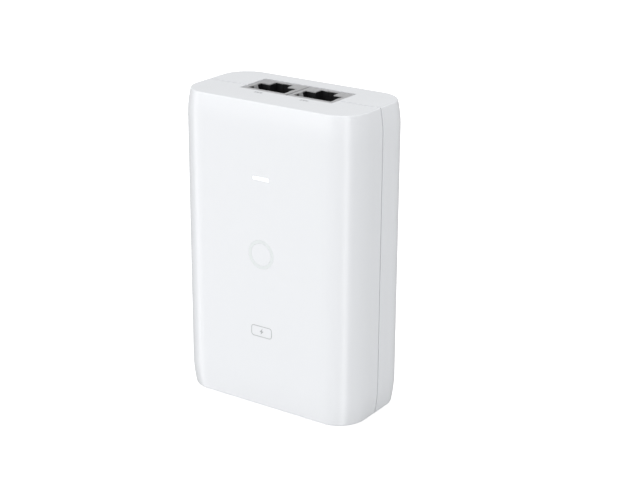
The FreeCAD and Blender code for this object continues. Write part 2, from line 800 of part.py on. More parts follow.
def build_inlet():
    housing = new_body("inlet_housing")
    half_x, half_y = "(inlet_width / 2)", "(inlet_depth / 2)"
    add(housing, "box", "XY", "inlet_face", "inlet_top",
        rectangle("-" + half_x, half_x, "inlet_middle - " + half_y, "inlet_middle + " + half_y))
    hollow_x, low, high = "(recess_width / 2)", "inlet_middle - recess_depth / 2", \
        "inlet_middle + recess_depth / 2"
    remove(housing, "recess", "XY", "inlet_face - 1", "recess_top",
           polygon(("-" + hollow_x, high), ("-" + hollow_x, low + " + recess_bevel"),
                   ("-(recess_width / 2 - recess_bevel)", low),
                   ("recess_width / 2 - recess_bevel", low),
                   (hollow_x, low + " + recess_bevel"), (hollow_x, high)))
    piece(housing)
    pins = []
    for name, x, y in (("line", "-pin_spacing / 2", "pin_offset"), ("earth", "0", "-pin_offset"),
                       ("neutral", "pin_spacing / 2", "pin_offset")):
        pins.append(block("pin_" + name, "pin_thick", "pin_wide", "recess_top - pin_tip", x,
                          "inlet_middle + (%s) - pin_wide / 2" % y, "pin_tip"))
    piece(group("inlet_pins", pins))


# ---- circuit board and what it carries ---------------------------------------

def build_board():
    """The board with its screws, the sheet behind it and the solder on its rear."""
    body = new_body("main_board")
    holes = [disc(x, z, "boss_radius + board_play") for x, z in BOSSES]
    holes += [disc(x, z, "board_shank + board_play") for x, z in POSTS]
    add(body, "panel", "XZ", "board_front", "board_front + board_thick",
        together(round_rectangle("-board_width / 2", "board_width / 2", "board_low", "board_high",
                                 "board_round"), *holes))
    piece(body)
    screws = []
    for i, (x, z) in enumerate(POSTS):
        shank = rod("board_shank_%d" % i, "board_shank", "board_screw_length", "-y", x,
                    "board_front + board_screw_length - board_screw_play", z)
        head = rod("board_head_%d" % i, "board_head", "board_head_thick", "-y", x, "board_front", z)
        screws.append(fuse("board_screw_%d" % i, shank, head))
    piece(group("board_screws", screws))
    piece(block("insulation_sheet", "sheet_width", "sheet_thick", "sheet_high - sheet_low", "0",
                "dock_backing - sheet_thick", "sheet_low"))

    # A staggered row of joints for each socket, three for the inlet, two for each board part.
    spots = [("%s * socket_pitch / 2 + contact_pitch * (%s)" % (side, i - (CONTACTS - 1) / 2),
              "solder_row + solder_stagger * %d" % (i % 2))
             for side in ("-1", "1") for i in range(CONTACTS)]
    spots += [("%d * pin_spacing / 2" % side, "inlet_solder") for side in (-1, 0, 1)]
    for name, numbers in BOARD_PARTS.items():
        reach = "%s_radius / 2" % name if "radius" in numbers else "%s_tall / 4" % name
        spots += [("%s_x" % name, "%s_z + (%d) * %s" % (name, side, reach)) for side in (-1, 1)]
    joints = []
    for i, (x, z) in enumerate(spots):
        cone = doc.addObject("Part::Cone", "solder_%d" % i)
        cone.Placement = FreeCAD.Placement(V(), FreeCAD.Rotation(V(1, 0, 0), -90))
        bind(cone, Radius1="solder_radius", Radius2="solder_tip", Height="solder_height")
        joints.append(place(cone, x, "board_front + board_thick", z))
    piece(group("solder_joints", joints))


def build_fuse():
    """A glass tube between two metal caps."""
    y = "board_front - fuse_lift"
    tube_low = "fuse_low + cap_length"
    piece(rod("fuse_tube", "fuse_radius", "fuse_length", "z", "fuse_place", y, tube_low))
    piece(group("fuse_caps", [
        rod("fuse_cap_low", "cap_radius", "cap_length", "z", "fuse_place", y, "fuse_low"),
        rod("fuse_cap_high", "cap_radius", "cap_length", "z", "fuse_place", y,
            tube_low + " + fuse_length")]))


SIDE_TURNS = 6


def build_choke():
    """A ferrite ring with a winding on each side."""
    outer = standing("choke_outer", "choke_radius", "choke_thick", "choke_place", "choke_height",
                     lift="choke_lift")
    hole = standing("choke_inner", "choke_hole", "choke_thick + 1", "choke_place", "choke_height",
                    lift="choke_lift - 0.5")
    piece(cut("choke_core", outer, hole))
    ring = "(choke_radius + choke_hole) / 2"
    turns = []
    for i in range(2 * SIDE_TURNS):
        angle = i // SIDE_TURNS * 180 + (i % SIDE_TURNS - (SIDE_TURNS - 1) / 2) * value("turn_step")
        turn = doc.addObject("Part::Torus", "choke_turn_%d" % i)
        turn.Placement = FreeCAD.Placement(V(), FreeCAD.Rotation(V(0, 1, 0), angle))
        bind(turn, Radius1="turn_radius", Radius2="wire_radius")
        place(turn, "choke_place + %s * cos(%s deg)" % (ring, angle),
              "board_front - choke_lift - choke_thick / 2",
              "choke_height - %s * sin(%s deg)" % (ring, angle))
        turns.append(turn)
    piece(group("choke_windings", turns))


def build_transformer():
    """Ferrite core, bobbin and taped windings, between the mains and the output side."""
    core_front = "board_front - core_lift - core_depth"
    middle = "board_front - core_lift - core_depth / 2"
    window_low = "core_low + core_end"
    window_height = "(core_height - 2 * core_end)"
    outer = block("core_outer", "core_width", "core_depth", "core_height", "0", core_front, "core_low")
    window = block("core_window", "core_width + 1", "core_depth - 2 * core_leg", window_height, "0",
                   core_front + " + core_leg", window_low)
    limb = rod("core_limb", "core_limb", "core_height", "z", "0", middle, "core_low")
    piece(fuse("transformer_core", cut("core_frame", outer, window), limb))

    bobbin_low = window_low + " + bobbin_play"
    bobbin_height = window_height + " - 2 * bobbin_play"
    top_flange = "%s + %s - bobbin_flange" % (bobbin_low, bobbin_height)
    walls = [rod("bobbin_tube", "bobbin_tube", bobbin_height, "z", "0", middle, bobbin_low)]
    for end, z in (("low", bobbin_low), ("high", top_flange)):
        walls.append(block("bobbin_" + end, "bobbin_width",
                           "core_depth - 2 * core_leg - 4 * bobbin_play", "bobbin_flange", "0",
                           core_front + " + core_leg + 2 * bobbin_play", z))
        walls.append(block("bobbin_foot_" + end, "bobbin_width", "foot_depth", "bobbin_flange", "0",
                           "board_front - foot_depth", z))
    bore = rod("bobbin_bore", "core_limb + bobbin_play", "core_height", "z", "0", middle, "core_low")
    leg_room = block("bobbin_leg_room", "core_width + 2 * bobbin_play", "core_leg + 8 * bobbin_play",
                     "core_height", "0", "board_front - core_lift - core_leg - bobbin_play",
                     "core_low")
    piece(cut("transformer_bobbin", fuse("bobbin_blank", *walls), fuse("bobbin_room", bore, leg_room)))

    coil_low = bobbin_low + " + bobbin_flange + bobbin_play"
    coil_height = bobbin_height + " - 2 * bobbin_flange - 2 * bobbin_play"
    coil = rod("coil_outer", "coil_radius", coil_height, "z", "0", middle, coil_low)
    inside = rod("coil_inner", "bobbin_tube + bobbin_play / 2", coil_height + " + 2", "z", "0",
                 middle, coil_low + " - 1")
    piece(cut("transformer_windings", coil, inside))


# Middle of each chip part on the board, at x and z.
CHIPS = ((20, 55), (20, 57), (14, 56), (-12, 60), (-16, 60), (16.5, 76), (12, 76), (-12, 76))


def build_board_parts():
    """Every other part on the board: one node each, the two output cans and the chips in groups."""
    for name in BOARD_PARTS:
        if name != "output_can":
            piece(board_part(name))
    piece(group("output_capacitors", [
        standing("output_can_" + side, "output_can_radius", "output_can_high",
                 "output_can_x %s can_pitch / 2" % sign, "output_can_z")
        for side, sign in (("left", "-"), ("right", "+"))]))
    piece(group("chip_parts", [
        on_board("chip_%d" % i, "chip_width", "chip_tall", "chip_high", x, z)
        for i, (x, z) in enumerate(CHIPS)]))


# ---- wall bracket ------------------------------------------------------------

def build_wall_bracket():
    body = new_body("wall_bracket")
    add(body, "plate", "XZ", "plate_front", "plate_back",
        round_rectangle("-plate_width / 2", "plate_width / 2", "plate_low", "plate_high",
                        "plate_round"))
    half = "(plate_width / 2 + tab_reach)"
    for i in range(2):
        low = "tab_low + tab_pitch * %d" % i
        add(body, "tabs_%d" % i, "XZ", "plate_front", "plate_front + tab_thick",
            rectangle("-" + half, half, low, "%s + tab_height" % low))
    holes = ("wall_hole_low", "wall_hole_low + wall_hole_pitch")
    remove(body, "wall_holes", "XZ", "plate_front - 1", "plate_back + 1",
           together(*[disc("0", z, "wall_hole_radius") for z in holes]))
    remove(body, "head_seats", "XZ", "plate_front - 1", "plate_front + wall_head_depth",
           together(*[disc("0", z, "wall_head_radius") for z in holes]))
    middle = "wall_hole_low + wall_hole_pitch / 2"
    remove(body, "window", "XZ", "plate_front - 1", "plate_back + 1",
           round_rectangle("-window_size / 2", "window_size / 2", middle + " - window_size / 2",
                           middle + " + window_size / 2", "plate_round"))
    piece(body)


# ---- build, check and write --------------------------------------------------

build_front_cover()
build_rear_cover()
build_case_screws()
build_light_pipe()
build_marks()
for socket, middle in (("lan_socket", "-socket_pitch / 2"), ("poe_socket", "socket_pitch / 2")):
    build_shield(socket, middle)
    build_housing(socket, middle)
    build_contacts(socket, middle)
build_inlet()
build_board()
build_fuse()
build_choke()
build_transformer()
build_board_parts()
build_wall_bracket()
doc.recompute()

faults = []
for obj in doc.Objects:
    if {"Invalid", "Error"} & set(obj.State):
        faults.append("%s: %s" % (obj.Name, obj.State))
    if obj.TypeId == "PartDesign::Pocket" and not obj.Shape.isNull():
        if obj.Shape.Volume > obj.BaseFeature.Shape.Volume - 0.001:
            faults.append("%s cuts nothing" % obj.Name)
for obj in pieces:
    if obj.Shape.isNull() or not obj.Shape.isValid():
        faults.append("%s has no valid shape" % obj.Label)
if faults:
    raise SystemExit("\n".join(faults))

os.makedirs("parts", exist_ok=True)
for obj in pieces:
    obj.Shape.exportStep("parts/%s.step" % obj.Label)
    print("%-22s %2d solid(s) %10.2f mm3" % (obj.Label, len(obj.Shape.Solids), obj.Shape.Volume))
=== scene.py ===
"""Looks for an upright white power injector: two shells, two shielded sockets, a light bar and a bracket."""
import math

import bmesh
import bpy
from mathutils import Matrix, Vector
from mathutils.geometry import interpolate_bezier


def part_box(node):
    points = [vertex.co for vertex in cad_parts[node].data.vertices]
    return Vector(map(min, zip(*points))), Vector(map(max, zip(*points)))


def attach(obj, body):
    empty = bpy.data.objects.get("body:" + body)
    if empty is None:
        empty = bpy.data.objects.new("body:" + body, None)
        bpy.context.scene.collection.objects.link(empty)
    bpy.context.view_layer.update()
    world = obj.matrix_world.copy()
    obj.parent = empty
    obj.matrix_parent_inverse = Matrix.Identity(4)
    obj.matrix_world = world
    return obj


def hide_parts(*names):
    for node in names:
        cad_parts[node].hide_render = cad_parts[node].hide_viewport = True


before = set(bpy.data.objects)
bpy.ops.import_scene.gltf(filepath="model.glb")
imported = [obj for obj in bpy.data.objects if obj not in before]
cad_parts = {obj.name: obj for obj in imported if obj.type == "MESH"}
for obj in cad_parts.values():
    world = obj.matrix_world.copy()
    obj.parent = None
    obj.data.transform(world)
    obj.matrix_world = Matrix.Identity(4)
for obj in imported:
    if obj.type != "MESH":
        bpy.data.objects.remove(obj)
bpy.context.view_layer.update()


# ---- Front and rear shells ---------------------------------------------------
# Two white shells, injection moulded in a satin plastic, that meet at an upright
# seam. The mould leaves a fine even grain, and the walls curve in at both ends.

def new_material(name):
    """An empty material with a Principled shader, and what is needed to wire it."""
    material = bpy.data.materials.new(name)
    material.use_nodes = True
    tree = material.node_tree
    return material, tree, tree.nodes["Principled BSDF"]


def new_group(name, inputs, outputs):
    """A shader node group with named float inputs and outputs."""
    tree = bpy.data.node_groups.new(name, "ShaderNodeTree")
    for label, start in inputs:
        tree.interface.new_socket(label, in_out="INPUT", socket_type="NodeSocketFloat").default_value = start
    for label in outputs:
        tree.interface.new_socket(label, in_out="OUTPUT", socket_type="NodeSocketFloat")
    return tree, tree.nodes.new("NodeGroupInput"), tree.nodes.new("NodeGroupOutput")


def moulded_grain():
    """Fine mould grain: a height for bump, and a roughness that wanders a little."""
    tree, given, result = new_group(
        "moulded_grain", (("Grain Size", 0.0002), ("Roughness", 0.4), ("Wander", 0.05)),
        ("Height", "Roughness"))
    place = tree.nodes.new("ShaderNodeTexCoord")
    scale = tree.nodes.new("ShaderNodeMath")
    scale.operation = "DIVIDE"
    scale.inputs[0].default_value = 1.0
    fine = tree.nodes.new("ShaderNodeTexNoise")
    fine.inputs["Detail"].default_value = 2.0
    broad = tree.nodes.new("ShaderNodeTexNoise")
    broad.inputs["Scale"].default_value = 90.0
    broad.inputs["Detail"].default_value = 3.0
    centred = tree.nodes.new("ShaderNodeMath")
    centred.operation = "SUBTRACT"
    centred.inputs[1].default_value = 0.5
    spread = tree.nodes.new("ShaderNodeMath")
    spread.operation = "MULTIPLY_ADD"
    link = tree.links.new
    link(given.outputs["Grain Size"], scale.inputs[1])
    link(place.outputs["Object"], fine.inputs["Vector"])
    link(scale.outputs[0], fine.inputs["Scale"])
    link(place.outputs["Object"], broad.inputs["Vector"])
    link(broad.outputs["Fac"], centred.inputs[0])
    link(centred.outputs[0], spread.inputs[0])
    link(given.outputs["Wander"], spread.inputs[1])
    link(given.outputs["Roughness"], spread.inputs[2])
    link(fine.outputs["Fac"], result.inputs["Height"])
    link(spread.outputs[0], result.inputs["Roughness"])
    return tree


GRAIN = moulded_grain()


def plastic(name, colour, roughness, grain_size=0.00025, grain_depth=0.000004, wander=0.05):
    """Moulded plastic: a plain colour under fine grain."""
    material, tree, shader = new_material(name)
    shader.inputs["Base Color"].default_value = (*colour, 1.0)
    shader.inputs["IOR"].default_value = 1.5
    grain = tree.nodes.new("ShaderNodeGroup")
    grain.node_tree = GRAIN
    grain.inputs["Grain Size"].default_value = grain_size
    grain.inputs["Roughness"].default_value = roughness
    grain.inputs["Wander"].default_value = wander
    bump = tree.nodes.new("ShaderNodeBump")
    bump.inputs["Strength"].default_value = 1.0
    bump.inputs["Distance"].default_value = grain_depth
    tree.links.new(grain.outputs["Height"], bump.inputs["Height"])
    tree.links.new(bump.outputs["Normal"], shader.inputs["Normal"])
    tree.links.new(grain.outputs["Roughness"], shader.inputs["Roughness"])
    return material


def dress(node, material):
    """Give a CAD node its finish."""
    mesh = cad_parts[node].data
    mesh.materials.clear()
    mesh.materials.append(material)


case_white = plastic("case_white", (0.83, 0.84, 0.86), 0.24)
dress("front_cover", case_white)
dress("rear_cover", case_white)


# ---- Light bar ---------------------------------------------------------------
# The milky end of a clear light pipe, flush in a slot of the front shell. The
# lamp behind it is on, so the bar glows evenly, a little brighter in its middle.

bar, tree, shader = new_material("light_diffuser")
shader.inputs["Base Color"].default_value = (0.95, 0.96, 0.97, 1.0)
shader.inputs["Roughness"].default_value = 0.35
shader.inputs["Emission Strength"].default_value = 0.26
low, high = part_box("light_pipe")
glow_fade = 160.0
place = tree.nodes.new("ShaderNodeTexCoord")
shape = tree.nodes.new("ShaderNodeMapping")
shape.inputs["Location"].default_value = (0.0, 0.0, -(low[2] + high[2]) / 2)
glow = tree.nodes.new("ShaderNodeTexGradient")
glow.gradient_type = "SPHERICAL"
wide = tree.nodes.new("ShaderNodeVectorMath")
wide.operation = "MULTIPLY"
wide.inputs[1].default_value = (glow_fade, 0.0, glow_fade)
ramp = tree.nodes.new("ShaderNodeValToRGB")
ramp.color_ramp.elements[0].color = (0.80, 0.85, 0.92, 1.0)
ramp.color_ramp.elements[1].color = (1.0, 1.0, 1.0, 1.0)
tree.links.new(place.outputs["Object"], shape.inputs["Vector"])
tree.links.new(shape.outputs["Vector"], wide.inputs[0])
tree.links.new(wide.outputs["Vector"], glow.inputs["Vector"])
tree.links.new(glow.outputs["Fac"], ramp.inputs["Fac"])
tree.links.new(ramp.outputs["Color"], shader.inputs["Emission Color"])
dress("light_pipe", bar)


# ---- Marks on the front and the top ------------------------------------------
# A plain ring inlaid in a slightly greyer plastic, a thin printed outline with a
# bolt in it near the foot, and three dots over a line in front of each socket.

mark_grey = plastic("mark_grey", (0.76, 0.79, 0.79), 0.42)
print_grey = plastic("print_grey", (0.42, 0.43, 0.44), 0.6, grain_size=0.0001)
dress("front_emblem", mark_grey)
for node in ("badge_outline", "badge_bolt", "socket_marks"):
    dress(node, print_grey)


# ---- Label -------------------------------------------------------------------
# A matt grey film in a shallow seat of the rear shell. Only a thin border and two
# rules are printed on it.

def put(name, built, material):
    """An object from a finished mesh, linked to the scene."""
    mesh = bpy.data.meshes.new(name)
    built.to_mesh(mesh)
    built.free()
    mesh.materials.append(material)
    piece = bpy.data.objects.new(name, mesh)
    bpy.context.collection.objects.link(piece)
    return piece


label_film = plastic("label_film", (0.62, 0.63, 0.65), 0.5)
dress("rating_label", label_film)
low, high = (Vector(corner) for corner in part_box("rating_label"))
margin, line, ink = 0.0008, 0.00018, 0.00001
left, right, foot, head = low.x + margin, high.x - margin, low.z + margin, high.z - margin
rule_heights = (0.0, 0.32, 0.66, 1.0)
strokes = [((left + right) / 2, foot + (head - foot) * share, right - left, line)
           for share in rule_heights]
strokes += [(x, (foot + head) / 2, line, head - foot) for x in (left, right)]
built = bmesh.new()
for x, z, wide, tall in strokes:
    stroke = bmesh.ops.create_cube(built, size=1.0)["verts"]
    bmesh.ops.scale(built, vec=(wide, ink, tall), verts=stroke)
    bmesh.ops.translate(built, vec=(x, high.y + ink / 2, z), verts=stroke)
rules = put("label_rules", built, print_grey)
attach(rules, "case")


# ---- Sockets -----------------------------------------------------------------
# Each socket is a black moulding in a folded box of tinned steel, whose fingers
# press on the plug. Eight gilt wires spring back when a plug bends them.

def metal(name, colour, roughness, streak=(900.0, 900.0, 60.0), metallic=1.0):
    """Rolled or drawn metal: faint streaks in its roughness and colour. A dull one is less metallic."""
    material, tree, shader = new_material(name)
    shader.inputs["Metallic"].default_value = metallic
    place = tree.nodes.new("ShaderNodeTexCoord")
    stretch = tree.nodes.new("ShaderNodeVectorMath")
    stretch.operation = "MULTIPLY"
    stretch.inputs[1].default_value = streak
    noise = tree.nodes.new("ShaderNodeTexNoise")
    noise.inputs["Scale"].default_value = 1.0
    noise.inputs["Detail"].default_value = 4.0
    tone = tree.nodes.new("ShaderNodeValToRGB")
    tone.color_ramp.elements[0].position = 0.3
    tone.color_ramp.elements[0].color = (*[c * 0.86 for c in colour], 1.0)
    tone.color_ramp.elements[1].position = 0.7
    tone.color_ramp.elements[1].color = (*colour, 1.0)
    rough = tree.nodes.new("ShaderNodeMapRange")
    rough.inputs["To Min"].default_value = roughness - 0.07
    rough.inputs["To Max"].default_value = roughness + 0.07
    link = tree.links.new
    link(place.outputs["Object"], stretch.inputs[0])
    link(stretch.outputs["Vector"], noise.inputs["Vector"])
    link(noise.outputs["Fac"], tone.inputs["Fac"])
    link(noise.outputs["Fac"], rough.inputs["Value"])
    link(tone.outputs["Color"], shader.inputs["Base Color"])
    link(rough.outputs["Result"], shader.inputs["Roughness"])
    return material


def new_shape(name, inputs):
    """A Geometry Nodes tree with named inputs, and its first and last node."""
    tree = bpy.data.node_groups.new(name, "GeometryNodeTree")
    for label, kind in inputs:
        tree.interface.new_socket(label, in_out="INPUT", socket_type="NodeSocket" + kind)
    tree.interface.new_socket("Geometry", in_out="OUTPUT", socket_type="NodeSocketGeometry")
    return tree, tree.nodes.new("NodeGroupInput"), tree.nodes.new("NodeGroupOutput")


def grow(name, tree, sizes, body, path=((0.0, 0.0, 0.0),)):
    """One plain mesh that a tree makes from its sizes and a path of points. It rides on a body."""
    mesh = bpy.data.meshes.new(name + "_path")
    mesh.from_pydata(path, [(i, i + 1) for i in range(len(path) - 1)], [])
    piece = bpy.data.objects.new(name, mesh)
    bpy.context.collection.objects.link(piece)
    maker = piece.modifiers.new("shape", "NODES")
    maker.node_group = tree
    for item in tree.interface.items_tree:
        if item.in_out == "INPUT" and item.name in sizes:
            maker[item.identifier] = sizes[item.name]
    shown = piece.evaluated_get(bpy.context.evaluated_depsgraph_get())
    piece.data = bpy.data.meshes.new_from_object(shown)
    piece.modifiers.clear()
    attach(piece, body)
    return piece


def wire_row():
    """A wire bent along the path, repeated in a row along X and smooth all round."""
    tree, given, result = new_shape("wire_row", (
        ("Path", "Geometry"), ("Count", "Int"), ("Pitch", "Float"), ("First", "Vector"),
        ("Radius", "Float"), ("Material", "Material")))
    bent = tree.nodes.new("GeometryNodeMeshToCurve")
    section = tree.nodes.new("GeometryNodeCurvePrimitiveCircle")
    section.inputs["Resolution"].default_value = 12
    sweep = tree.nodes.new("GeometryNodeCurveToMesh")
    sweep.inputs["Fill Caps"].default_value = True
    step = tree.nodes.new("ShaderNodeCombineXYZ")
    row = tree.nodes.new("GeometryNodeMeshLine")
    repeat = tree.nodes.new("GeometryNodeInstanceOnPoints")
    real = tree.nodes.new("GeometryNodeRealizeInstances")
    smooth = tree.nodes.new("GeometryNodeSetShadeSmooth")
    coat = tree.nodes.new("GeometryNodeSetMaterial")
    link = tree.links.new
    link(given.outputs["Path"], bent.inputs["Mesh"])
    link(given.outputs["Radius"], section.inputs["Radius"])
    link(bent.outputs["Curve"], sweep.inputs["Curve"])
    link(section.outputs["Curve"], sweep.inputs["Profile Curve"])
    link(given.outputs["Pitch"], step.inputs["X"])
    link(given.outputs["Count"], row.inputs["Count"])
    link(given.outputs["First"], row.inputs["Start Location"])
    link(step.outputs["Vector"], row.inputs["Offset"])
    link(row.outputs["Mesh"], repeat.inputs["Points"])
    link(sweep.outputs["Mesh"], repeat.inputs["Instance"])
    link(repeat.outputs["Instances"], real.inputs["Geometry"])
    link(real.outputs["Geometry"], smooth.inputs["Geometry"])
    link(smooth.outputs["Geometry"], coat.inputs["Geometry"])
    link(given.outputs["Material"], coat.inputs["Material"])
    link(coat.outputs["Geometry"], result.inputs["Geometry"])
    return tree


def block_row():
    """A plain block, repeated in a row by an offset."""
    tree, given, result = new_shape("block_row", (
        ("Count", "Int"), ("Offset", "Vector"), ("First", "Vector"), ("Size", "Vector"),
        ("Material", "Material")))
    row = tree.nodes.new("GeometryNodeMeshLine")
    block = tree.nodes.new("GeometryNodeMeshCube")
    repeat = tree.nodes.new("GeometryNodeInstanceOnPoints")
    real = tree.nodes.new("GeometryNodeRealizeInstances")
    coat = tree.nodes.new("GeometryNodeSetMaterial")
    link = tree.links.new
    link(given.outputs["Count"], row.inputs["Count"])
    link(given.outputs["First"], row.inputs["Start Location"])
    link(given.outputs["Offset"], row.inputs["Offset"])
    link(given.outputs["Size"], block.inputs["Size"])
    link(row.outputs["Mesh"], repeat.inputs["Points"])
    link(block.outputs["Mesh"], repeat.inputs["Instance"])
    link(repeat.outputs["Instances"], real.inputs["Geometry"])
    link(real.outputs["Geometry"], coat.inputs["Geometry"])
    link(given.outputs["Material"], coat.inputs["Material"])
    link(coat.outputs["Geometry"], result.inputs["Geometry"])
    return tree


WIRE_ROW, BLOCK_ROW = wire_row(), block_row()

shield_steel = metal("shield_steel", (0.68, 0.68, 0.69), 0.38, metallic=0.5)
# The finger on the latch side is painted near black, from under the rim down to its knee: painted shade for
# the housing's shadow on it.
finger_front, finger_knee, under_rim, finger_painted_shade = 0.0074, 0.0965, 0.0996, (0.03, 0.03, 0.032, 1.0)
tree = shield_steel.node_tree
shader = tree.nodes["Principled BSDF"]
bright = shader.inputs["Base Color"].links[0].from_socket
place = tree.nodes.new("ShaderNodeTexCoord")
apart = tree.nodes.new("ShaderNodeSeparateXYZ")
tree.links.new(place.outputs["Object"], apart.inputs["Vector"])
painted_shade_mask = None
for axis, side, limit in (("Y", "GREATER_THAN", finger_front), ("Z", "GREATER_THAN", finger_knee),
                          ("Z", "LESS_THAN", under_rim)):
    within = tree.nodes.new("ShaderNodeMath")
    within.operation = side
    within.inputs[1].default_value = limit
    tree.links.new(apart.outputs[axis], within.inputs[0])
    if painted_shade_mask:
        both = tree.nodes.new("ShaderNodeMath")
        both.operation = "MULTIPLY"
        tree.links.new(painted_shade_mask, both.inputs[0])
        tree.links.new(within.outputs["Value"], both.inputs[1])
        within = both
    painted_shade_mask = within.outputs["Value"]
# Painted shade: where the mask holds, the steel's colour is mixed to near black.
mixed = tree.nodes.new("ShaderNodeMix")
mixed.data_type = "RGBA"
mixed.inputs[7].default_value = finger_painted_shade
tree.links.new(painted_shade_mask, mixed.inputs["Factor"])
tree.links.new(bright, mixed.inputs[6])
tree.links.new(mixed.outputs[2], shader.inputs["Base Color"])
socket_black = plastic("socket_black", (0.012, 0.012, 0.013), 0.38, grain_size=0.00018)
contact_gold = metal("contact_gold", (0.85, 0.62, 0.27), 0.25)

contacts, pitch, wire_radius = 8, 0.00102, 0.00023
rib_width, rib_depth, rib_height, rib_gap = 0.0003, 0.0009, 0.009, 0.00001
hook_steps, run_steps, tip_steps = 9, 12, 5

for side in ("lan", "poe"):
    dress(side + "_socket_shield", shield_steel)
    dress(side + "_socket_housing", socket_black)

    # Each wire hooks over its pivot, leans into the plug's path and curls back at its tip.
    low, high = (Vector(corner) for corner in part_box(side + "_socket_contacts"))
    middle = (low.x + high.x) / 2
    hook = Vector((0, low.y + 0.00003, high.z - 0.0007))
    shoulder = Vector((0, low.y + 0.0008, high.z - 0.0003))
    heel = Vector((0, high.y - 0.00025, low.z + 0.0007))
    tip = Vector((0, high.y - 0.0005, low.z))
    rise = Vector((0, 0, 0.001))
    leave, arrive = Vector((0, 0.0003, -0.0016)), Vector((0, -0.0002, 0.0014))
    route = interpolate_bezier(hook, hook + rise, shoulder + rise * 0.9, shoulder, hook_steps)[:-1]
    route += interpolate_bezier(shoulder, shoulder + leave, heel + arrive, heel, run_steps)[:-1]
    route += interpolate_bezier(heel, heel - rise * 0.5, tip + rise * 0.1, tip, tip_steps)
    wires = grow(side + "_contact_wires", WIRE_ROW, {
        "Count": contacts, "Pitch": pitch, "First": (middle - pitch * (contacts - 1) / 2, 0.0, 0.0),
        "Radius": wire_radius, "Material": contact_gold},
        side + "_contacts", path=route)
    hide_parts(side + "_socket_contacts")

    # A comb in the moulding keeps the wires apart.
    comb_back = low.y - 0.0003 + rib_depth / 2 + rib_gap
    grow(side + "_contact_comb", BLOCK_ROW, {
        "Count": contacts + 1, "Offset": (pitch, 0.0, 0.0),
        "First": (middle - pitch * contacts / 2, comb_back, high.z - rib_height / 2),
        "Size": (rib_width, rib_depth, rib_height), "Material": socket_black}, "case")


# ---- Mains inlet -------------------------------------------------------------
# An appliance inlet moulded in black, held between the two shells at the base.
# Three flat pins of nickel plated brass stand in it, with eased tips.

dress("inlet_housing", socket_black)
pin_nickel = metal("pin_nickel", (0.72, 0.70, 0.66), 0.22)
low, high = (Vector(corner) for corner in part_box("inlet_pins"))
pin_thick, pin_wide, tip_taper = 0.002, 0.004, 0.0006
built = bmesh.new()
for x, y in ((low.x, high.y - pin_wide), ((low.x + high.x - pin_thick) / 2, low.y),
             (high.x - pin_thick, high.y - pin_wide)):
    blade = bmesh.ops.create_cube(built, size=1.0)["verts"]
    size = Vector((pin_thick, pin_wide, high.z - low.z))
    bmesh.ops.scale(built, vec=size, verts=blade)
    bmesh.ops.translate(built, vec=Vector((x, y, low.z)) + size / 2, verts=blade)
    ends = [edge for edge in built.edges if edge.verts[0] in blade
            and all(vert.co.z < low.z + tip_taper / 2 for vert in edge.verts)]
    bmesh.ops.bevel(built, geom=ends, offset=tip_taper, segments=4, profile=0.6, affect="EDGES")
blades = put("inlet_blades", built, pin_nickel)
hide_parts("inlet_pins")
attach(blades, "case")


# ---- Wall bracket and screws -------------------------------------------------
# The bracket is a white plate that slides in the rear shell, and four zinc
# plated screws stand deep in the shell's bores.

dress("wall_bracket", case_white)
low, high = (Vector(corner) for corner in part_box("wall_bracket"))
grips, grip_pitch, grip_inset, grip_foot = 4, 0.0014, 0.00002, 0.0016
grip_size = (0.012, 0.00018, 0.00056)
grow("bracket_grips", BLOCK_ROW, {
    "Count": grips, "Offset": (0.0, 0.0, grip_pitch),
    "First": (0.0, high.y - grip_inset, low.z + grip_foot),
    "Size": grip_size, "Material": case_white},
    "bracket")
screw_steel = metal("screw_steel", (0.42, 0.42, 0.43), 0.35)
dress("case_screws", screw_steel)
dress("board_screws", screw_steel)


# ---- Parts on the circuit board ----------------------------------------------
# The closed shells hide these: the board itself, wound parts on ferrite, cans,
# moulded chips, film and disc capacitors, heat sinks and a glass fuse.

def sleeved_can(name, node):
    """A printed sleeve round an aluminium can, whose bare end faces the front."""
    material, tree, shader = new_material(name)
    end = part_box(node)[0][1] + 0.0001
    place = tree.nodes.new("ShaderNodeTexCoord")
    apart = tree.nodes.new("ShaderNodeSeparateXYZ")
    bare = tree.nodes.new("ShaderNodeMath")
    bare.operation = "LESS_THAN"
    bare.inputs[1].default_value = end
    tone = tree.nodes.new("ShaderNodeValToRGB")
    tone.color_ramp.interpolation = "CONSTANT"
    tone.color_ramp.elements[0].color = (0.012, 0.014, 0.022, 1.0)
    tone.color_ramp.elements[1].position = 0.5
    tone.color_ramp.elements[1].color = (0.62, 0.63, 0.66, 1.0)
    shader.inputs["Roughness"].default_value = 0.3
    link = tree.links.new
    link(place.outputs["Object"], apart.inputs["Vector"])
    link(apart.outputs["Y"], bare.inputs[0])
    link(bare.outputs["Value"], tone.inputs["Fac"])
    link(tone.outputs["Color"], shader.inputs["Base Color"])
    link(bare.outputs["Value"], shader.inputs["Metallic"])
    return material


def banded(name, dark, light, stretch, roughness, mortar=0.45):
    """Bands of two tones along one direction: wound tape, traces under a lacquer, or woven glass."""
    material, tree, shader = new_material(name)
    place = tree.nodes.new("ShaderNodeTexCoord")
    scale = tree.nodes.new("ShaderNodeVectorMath")
    scale.operation = "MULTIPLY"
    scale.inputs[1].default_value = stretch
    wave = tree.nodes.new("ShaderNodeTexWave")
    wave.bands_direction = "DIAGONAL"
    wave.inputs["Scale"].default_value = 1.0
    wave.inputs["Distortion"].default_value = 0.6
    tone = tree.nodes.new("ShaderNodeValToRGB")
    tone.color_ramp.elements[0].position = mortar
    tone.color_ramp.elements[0].color = (*dark, 1.0)
    tone.color_ramp.elements[1].position = mortar + 0.12
    tone.color_ramp.elements[1].color = (*light, 1.0)
    shader.inputs["Roughness"].default_value = roughness
    link = tree.links.new
    link(place.outputs["Object"], scale.inputs[0])
    link(scale.outputs["Vector"], wave.inputs["Vector"])
    link(wave.outputs["Fac"], tone.inputs["Fac"])
    link(tone.outputs["Color"], shader.inputs["Base Color"])
    return material


